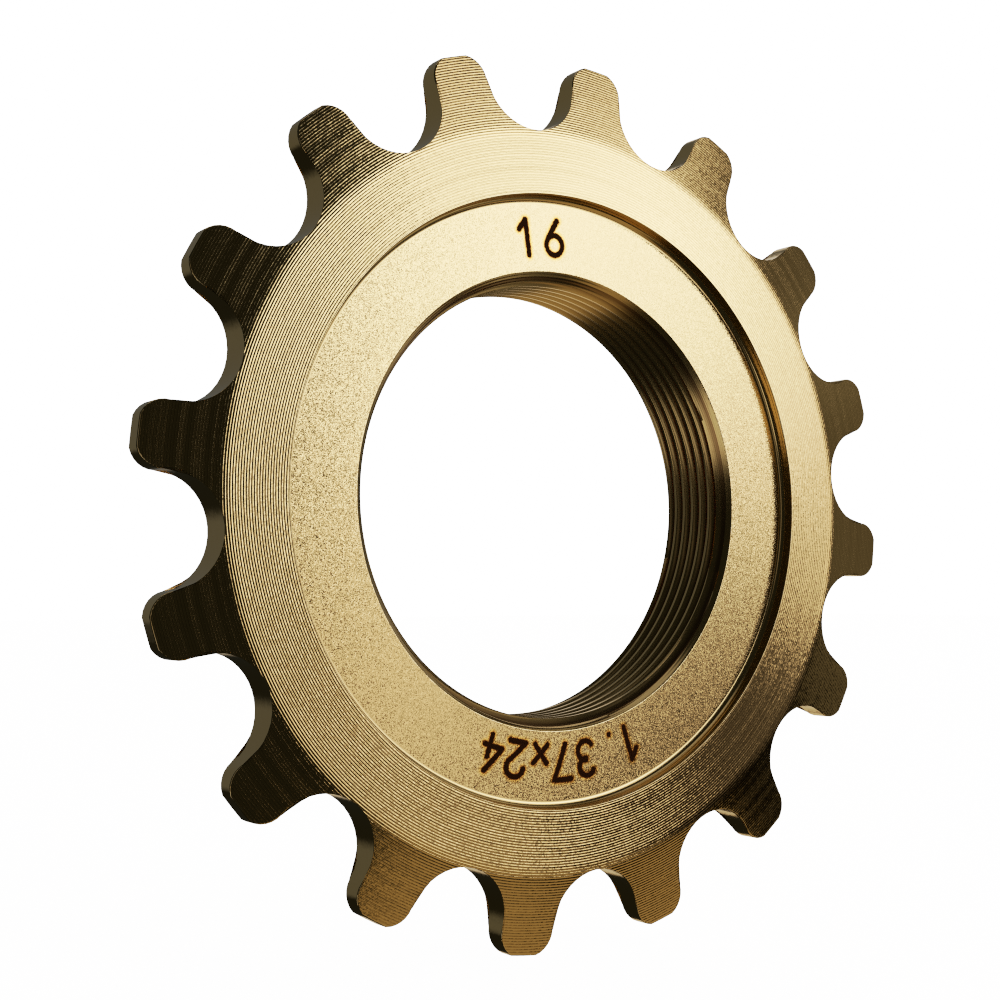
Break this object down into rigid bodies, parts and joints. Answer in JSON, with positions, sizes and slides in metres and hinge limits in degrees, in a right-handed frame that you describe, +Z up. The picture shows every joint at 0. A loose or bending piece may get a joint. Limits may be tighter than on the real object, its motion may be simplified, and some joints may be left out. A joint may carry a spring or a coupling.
{
  "type": "threaded track sprocket",
  "caption": "Screw-on bicycle rear sprocket with rounded teeth, a threaded hub bore and a lockring recess in its outboard side.",
  "frame": {"origin": "on the axis of rotation, midway between the outboard side of the toothed ring and the inboard end of the boss", "axes": "+Y along the axis of rotation, inboard, the way the sprocket screws on to the hub; -Y outboard; +Z up; a gap between two teeth is nearest +Z"},
  "size_m": [0.0688, 0.0086, 0.0688],
  "materials": {
    "plated_steel": "champagne gold plating over turned and milled steel, satin"
  },
  "bodies": {
    "root": {"sprocket": "plated_steel"}
  },
  "joints": []
}
